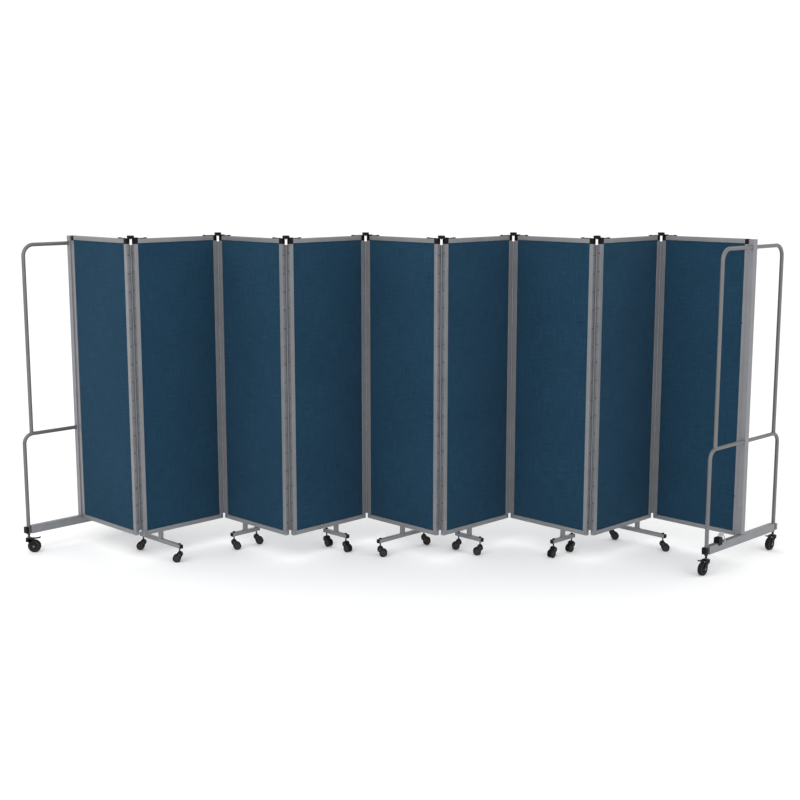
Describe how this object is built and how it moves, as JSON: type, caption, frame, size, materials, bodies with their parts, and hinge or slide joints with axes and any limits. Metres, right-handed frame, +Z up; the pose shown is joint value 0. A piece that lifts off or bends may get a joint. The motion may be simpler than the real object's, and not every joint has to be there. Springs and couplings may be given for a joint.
{
  "type": "partition wall",
  "caption": "Folding mobile partition wall: fabric panels in aluminium frames, hinged in a zigzag, on caster legs with wheeled end frames.",
  "frame": {"origin": "on the floor under the middle of the fifth panel, which is the middle of the wall", "axes": "+X along the wall to the right seen from the front, +Y to the back, +Z up"},
  "size_m": [4.4166, 1.0514, 1.8468],
  "materials": {
    "frame_aluminium": "satin",
    "tube_aluminium": "satin",
    "board_fabric": "matte",
    "caster_plastic": "satin",
    "wheel_tread": "matte",
    "trim_plastic": "satin"
  },
  "bodies": {
    "panel_1": {"panel_frame_1": "frame_aluminium", "panel_board_1": "board_fabric", "end_frame_left": "tube_aluminium"},
    "panel_2": {"panel_frame_2": "frame_aluminium", "panel_board_2": "board_fabric"},
    "panel_3": {"panel_frame_3": "frame_aluminium", "panel_board_3": "board_fabric"},
    "panel_4": {"panel_frame_4": "frame_aluminium", "panel_board_4": "board_fabric"},
    "panel_5": {"panel_frame_5": "frame_aluminium", "panel_board_5": "board_fabric"},
    "panel_6": {"panel_frame_6": "frame_aluminium", "panel_board_6": "board_fabric"},
    "panel_7": {"panel_frame_7": "frame_aluminium", "panel_board_7": "board_fabric"},
    "panel_8": {"panel_frame_8": "frame_aluminium", "panel_board_8": "board_fabric"},
    "panel_9": {"panel_frame_9": "frame_aluminium", "panel_board_9": "board_fabric", "end_frame_right": "tube_aluminium"},
    "leg_caster_2_front": {"leg_swivel_2_front": "caster_plastic"},
    "leg_wheel_pair_2_front": {"leg_wheels_2_front": "wheel_tread"},
    "leg_caster_2_rear": {"leg_swivel_2_rear": "caster_plastic"},
    "leg_wheel_pair_2_rear": {"leg_wheels_2_rear": "wheel_tread"},
    "leg_caster_3_front": {"leg_swivel_3_front": "caster_plastic"},
    "leg_wheel_pair_3_front": {"leg_wheels_3_front": "wheel_tread"},
    "leg_caster_3_rear": {"leg_swivel_3_rear": "caster_plastic"},
    "leg_wheel_pair_3_rear": {"leg_wheels_3_rear": "wheel_tread"},
    "leg_caster_4_front": {"leg_swivel_4_front": "caster_plastic"},
    "leg_wheel_pair_4_front": {"leg_wheels_4_front": "wheel_tread"},
    "leg_caster_4_rear": {"leg_swivel_4_rear": "caster_plastic"},
    "leg_wheel_pair_4_rear": {"leg_wheels_4_rear": "wheel_tread"},
    "leg_caster_5_front": {"leg_swivel_5_front": "caster_plastic"},
    "leg_wheel_pair_5_front": {"leg_wheels_5_front": "wheel_tread"},
    "leg_caster_5_rear": {"leg_swivel_5_rear": "caster_plastic"},
    "leg_wheel_pair_5_rear": {"leg_wheels_5_rear": "wheel_tread"},
    "leg_caster_6_front": {"leg_swivel_6_front": "caster_plastic"},
    "leg_wheel_pair_6_front": {"leg_wheels_6_front": "wheel_tread"},
    "leg_caster_6_rear": {"leg_swivel_6_rear": "caster_plastic"},
    "leg_wheel_pair_6_rear": {"leg_wheels_6_rear": "wheel_tread"},
    "leg_caster_7_front": {"leg_swivel_7_front": "caster_plastic"},
    "leg_wheel_pair_7_front": {"leg_wheels_7_front": "wheel_tread"},
    "leg_caster_7_rear": {"leg_swivel_7_rear": "caster_plastic"},
    "leg_wheel_pair_7_rear": {"leg_wheels_7_rear": "wheel_tread"},
    "leg_caster_8_front": {"leg_swivel_8_front": "caster_plastic"},
    "leg_wheel_pair_8_front": {"leg_wheels_8_front": "wheel_tread"},
    "leg_caster_8_rear": {"leg_swivel_8_rear": "caster_plastic"},
    "leg_wheel_pair_8_rear": {"leg_wheels_8_rear": "wheel_tread"},
    "end_caster_left_front": {"end_swivel_left_front": "caster_plastic"},
    "end_wheel_left_front_body": {"end_wheel_left_front": "wheel_tread"},
    "end_brake_left_front_body": {"end_brake_left_front": "caster_plastic"},
    "end_caster_left_rear": {"end_swivel_left_rear": "caster_plastic"},
    "end_wheel_left_rear_body": {"end_wheel_left_rear": "wheel_tread"},
    "end_brake_left_rear_body": {"end_brake_left_rear": "caster_plastic"},
    "end_caster_right_front": {"end_swivel_right_front": "caster_plastic"},
    "end_wheel_right_front_body": {"end_wheel_right_front": "wheel_tread"},
    "end_brake_right_front_body": {"end_brake_right_front": "caster_plastic"},
    "end_caster_right_rear": {"end_swivel_right_rear": "caster_plastic"},
    "end_wheel_right_rear_body": {"end_wheel_right_rear": "wheel_tread"},
    "end_brake_right_rear_body": {"end_brake_right_rear": "caster_plastic"}
  },
  "joints": [
    {"name": "fold_5", "type": "hinge", "parent": "panel_5", "child": "panel_6", "pos_m": [0.2139, -0.19551, 1], "axis": [0, 0, 1], "range_deg": [-90, 90]},
    {"name": "fold_6", "type": "hinge", "parent": "panel_6", "child": "panel_7", "pos_m": [0.6417, 0.19551, 1], "axis": [0, 0, 1], "range_deg": [-90, 90]},
    {"name": "fold_7", "type": "hinge", "parent": "panel_7", "child": "panel_8", "pos_m": [1.0695, -0.19551, 1], "axis": [0, 0, 1], "range_deg": [-90, 90]},
    {"name": "fold_8", "type": "hinge", "parent": "panel_8", "child": "panel_9", "pos_m": [1.4973, 0.19551, 1], "axis": [0, 0, 1], "range_deg": [-90, 90]},
    {"name": "fold_4", "type": "hinge", "parent": "panel_5", "child": "panel_4", "pos_m": [-0.2139, 0.19551, 1], "axis": [0, 0, 1], "range_deg": [-90, 90]},
    {"name": "fold_3", "type": "hinge", "parent": "panel_4", "child": "panel_3", "pos_m": [-0.6417, -0.19551, 1], "axis": [0, 0, 1], "range_deg": [-90, 90]},
    {"name": "fold_2", "type": "hinge", "parent": "panel_3", "child": "panel_2", "pos_m": [-1.0695, 0.19551, 1], "axis": [0, 0, 1], "range_deg": [-90, 90]},
    {"name": "fold_1", "type": "hinge", "parent": "panel_2", "child": "panel_1", "pos_m": [-1.4973, -0.19551, 1], "axis": [0, 0, 1], "range_deg": [-90, 90]},
    {"name": "leg_swivel_2_front_turn", "type": "hinge", "parent": "panel_2", "child": "leg_caster_2_front", "pos_m": [-1.26784, -0.24042, 0.055], "axis": [0, 0, 1], "continuous": true},
    {"name": "leg_wheels_2_front_roll", "type": "hinge", "parent": "leg_caster_2_front", "child": "leg_wheel_pair_2_front", "pos_m": [-1.28484, -0.24042, 0.023], "axis": [0, -1, 0], "continuous": true},
    {"name": "leg_swivel_2_rear_turn", "type": "hinge", "parent": "panel_2", "child": "leg_caster_2_rear", "pos_m": [-1.52382, 0.01556, 0.055], "axis": [0, 0, 1], "continuous": true},
    {"name": "leg_wheels_2_rear_roll", "type": "hinge", "parent": "leg_caster_2_rear", "child": "leg_wheel_pair_2_rear", "pos_m": [-1.54082, 0.01556, 0.023], "axis": [0, -1, 0], "continuous": true},
    {"name": "leg_swivel_3_front_turn", "type": "hinge", "parent": "panel_3", "child": "leg_caster_3_front", "pos_m": [-0.98995, 0.01556, 0.055], "axis": [0, 0, 1], "continuous": true},
    {"name": "leg_wheels_3_front_roll", "type": "hinge", "parent": "leg_caster_3_front", "child": "leg_wheel_pair_3_front", "pos_m": [-0.97353, 0.01996, 0.023], "axis": [-0.2588, 0.9659, 0], "continuous": true},
    {"name": "leg_swivel_3_rear_turn", "type": "hinge", "parent": "panel_3", "child": "leg_caster_3_rear", "pos_m": [-0.87116, 0.13435, 0.055], "axis": [0, 0, 1], "continuous": true},
    {"name": "leg_wheels_3_rear_roll", "type": "hinge", "parent": "leg_caster_3_rear", "child": "leg_wheel_pair_3_rear", "pos_m": [-0.85473, 0.13875, 0.023], "axis": [-0.2588, 0.9659, 0], "continuous": true},
    {"name": "leg_swivel_4_front_turn", "type": "hinge", "parent": "panel_4", "child": "leg_caster_4_front", "pos_m": [-0.33093, -0.02192, 0.055], "axis": [0, 0, 1], "continuous": true},
    {"name": "leg_wheels_4_front_roll", "type": "hinge", "parent": "leg_caster_4_front", "child": "leg_wheel_pair_4_front", "pos_m": [-0.31891, -0.03394, 0.023], "axis": [0.7071, 0.7071, 0], "continuous": true},
    {"name": "leg_swivel_4_rear_turn", "type": "hinge", "parent": "panel_4", "child": "leg_caster_4_rear", "pos_m": [-0.44972, 0.09687, 0.055], "axis": [0, 0, 1], "continuous": true},
    {"name": "leg_wheels_4_rear_roll", "type": "hinge", "parent": "leg_caster_4_rear", "child": "leg_wheel_pair_4_rear", "pos_m": [-0.4377, 0.08485, 0.023], "axis": [0.7071, 0.7071, 0], "continuous": true},
    {"name": "leg_swivel_5_front_turn", "type": "hinge", "parent": "panel_5", "child": "leg_caster_5_front", "pos_m": [-0.12799, -0.12799, 0.055], "axis": [0, 0, 1], "continuous": true},
    {"name": "leg_wheels_5_front_roll", "type": "hinge", "parent": "leg_caster_5_front", "child": "leg_wheel_pair_5_front", "pos_m": [-0.11099, -0.12799, 0.023], "axis": [0, 1, 0], "continuous": true},
    {"name": "leg_swivel_5_rear_turn", "type": "hinge", "parent": "panel_5", "child": "leg_caster_5_rear", "pos_m": [0.12799, 0.12799, 0.055], "axis": [0, 0, 1], "continuous": true},
    {"name": "leg_wheels_5_rear_roll", "type": "hinge", "parent": "leg_caster_5_rear", "child": "leg_wheel_pair_5_rear", "pos_m": [0.14499, 0.12799, 0.023], "axis": [0, 1, 0], "continuous": true},
    {"name": "leg_swivel_6_front_turn", "type": "hinge", "parent": "panel_6", "child": "leg_caster_6_front", "pos_m": [0.44972, -0.09687, 0.055], "axis": [0, 0, 1], "continuous": true},
    {"name": "leg_wheels_6_front_roll", "type": "hinge", "parent": "leg_caster_6_front", "child": "leg_wheel_pair_6_front", "pos_m": [0.43272, -0.09687, 0.023], "axis": [0, -1, 0], "continuous": true},
    {"name": "leg_swivel_6_rear_turn", "type": "hinge", "parent": "panel_6", "child": "leg_caster_6_rear", "pos_m": [0.33093, 0.02192, 0.055], "axis": [0, 0, 1], "continuous": true},
    {"name": "leg_wheels_6_rear_roll", "type": "hinge", "parent": "leg_caster_6_rear", "child": "leg_wheel_pair_6_rear", "pos_m": [0.31393, 0.02192, 0.023], "axis": [0, -1, 0], "continuous": true},
    {"name": "leg_swivel_7_front_turn", "type": "hinge", "parent": "panel_7", "child": "leg_caster_7_front", "pos_m": [0.87116, -0.13435, 0.055], "axis": [0, 0, 1], "continuous": true},
    {"name": "leg_wheels_7_front_roll", "type": "hinge", "parent": "leg_caster_7_front", "child": "leg_wheel_pair_7_front", "pos_m": [0.85913, -0.14637, 0.023], "axis": [0.7071, -0.7071, 0], "continuous": true},
    {"name": "leg_swivel_7_rear_turn", "type": "hinge", "parent": "panel_7", "child": "leg_caster_7_rear", "pos_m": [0.98995, -0.01556, 0.055], "axis": [0, 0, 1], "continuous": true},
    {"name": "leg_wheels_7_rear_roll", "type": "hinge", "parent": "leg_caster_7_rear", "child": "leg_wheel_pair_7_rear", "pos_m": [0.97793, -0.02758, 0.023], "axis": [0.7071, -0.7071, 0], "continuous": true},
    {"name": "leg_swivel_8_front_turn", "type": "hinge", "parent": "panel_8", "child": "leg_caster_8_front", "pos_m": [1.52382, -0.01556, 0.055], "axis": [0, 0, 1], "continuous": true},
    {"name": "leg_wheels_8_front_roll", "type": "hinge", "parent": "leg_caster_8_front", "child": "leg_wheel_pair_8_front", "pos_m": [1.54082, -0.01556, 0.023], "axis": [0, 1, 0], "continuous": true},
    {"name": "leg_swivel_8_rear_turn", "type": "hinge", "parent": "panel_8", "child": "leg_caster_8_rear", "pos_m": [1.26784, 0.24042, 0.055], "axis": [0, 0, 1], "continuous": true},
    {"name": "leg_wheels_8_rear_roll", "type": "hinge", "parent": "leg_caster_8_rear", "child": "leg_wheel_pair_8_rear", "pos_m": [1.28484, 0.24042, 0.023], "axis": [0, 1, 0], "continuous": true},
    {"name": "end_swivel_left_front_turn", "type": "hinge", "parent": "panel_1", "child": "end_caster_left_front", "pos_m": [-2.18072, -0.03677, 0.082], "axis": [0, 0, 1], "continuous": true},
    {"name": "end_wheel_left_front_roll", "type": "hinge", "parent": "end_caster_left_front", "child": "end_wheel_left_front_body", "pos_m": [-2.15072, -0.03677, 0.0375], "axis": [0, 1, 0], "continuous": true},
    {"name": "end_brake_left_front_press", "type": "hinge", "parent": "end_caster_left_front", "child": "end_brake_left_front_body", "pos_m": [-2.15572, -0.03677, 0.081], "axis": [0, 1, 0], "range_deg": [0, 8]},
    {"name": "end_swivel_left_rear_turn", "type": "hinge", "parent": "panel_1", "child": "end_caster_left_rear", "pos_m": [-1.67443, 0.46952, 0.082], "axis": [0, 0, 1], "continuous": true},
    {"name": "end_wheel_left_rear_roll", "type": "hinge", "parent": "end_caster_left_rear", "child": "end_wheel_left_rear_body", "pos_m": [-1.65322, 0.49073, 0.0375], "axis": [-0.7071, 0.7071, 0], "continuous": true},
    {"name": "end_brake_left_rear_press", "type": "hinge", "parent": "end_caster_left_rear", "child": "end_brake_left_rear_body", "pos_m": [-1.65675, 0.4872, 0.081], "axis": [-0.7071, 0.7071, 0], "range_deg": [0, 8]},
    {"name": "end_swivel_right_front_turn", "type": "hinge", "parent": "panel_9", "child": "end_caster_right_front", "pos_m": [1.67443, -0.46952, 0.082], "axis": [0, 0, 1], "continuous": true},
    {"name": "end_wheel_right_front_roll", "type": "hinge", "parent": "end_caster_right_front", "child": "end_wheel_right_front_body", "pos_m": [1.65322, -0.49073, 0.0375], "axis": [0.7071, -0.7071, 0], "continuous": true},
    {"name": "end_brake_right_front_press", "type": "hinge", "parent": "end_caster_right_front", "child": "end_brake_right_front_body", "pos_m": [1.65675, -0.4872, 0.081], "axis": [0.7071, -0.7071, 0], "range_deg": [0, 8]},
    {"name": "end_swivel_right_rear_turn", "type": "hinge", "parent": "panel_9", "child": "end_caster_right_rear", "pos_m": [2.18072, 0.03677, 0.082], "axis": [0, 0, 1], "continuous": true},
    {"name": "end_wheel_right_rear_roll", "type": "hinge", "parent": "end_caster_right_rear", "child": "end_wheel_right_rear_body", "pos_m": [2.1595, 0.01556, 0.0375], "axis": [0.7071, -0.7071, 0], "continuous": true},
    {"name": "end_brake_right_rear_press", "type": "hinge", "parent": "end_caster_right_rear", "child": "end_brake_right_rear_body", "pos_m": [2.16304, 0.01909, 0.081], "axis": [0.7071, -0.7071, 0], "range_deg": [0, 8]}
  ],
  "couplings": [
    {"joint": "fold_6", "follows": "fold_5", "ratio": -1},
    {"joint": "fold_7", "follows": "fold_5", "ratio": 1},
    {"joint": "fold_8", "follows": "fold_5", "ratio": -1},
    {"joint": "fold_4", "follows": "fold_5", "ratio": 1},
    {"joint": "fold_3", "follows": "fold_5", "ratio": -1},
    {"joint": "fold_2", "follows": "fold_5", "ratio": 1},
    {"joint": "fold_1", "follows": "fold_5", "ratio": -1}
  ]
}
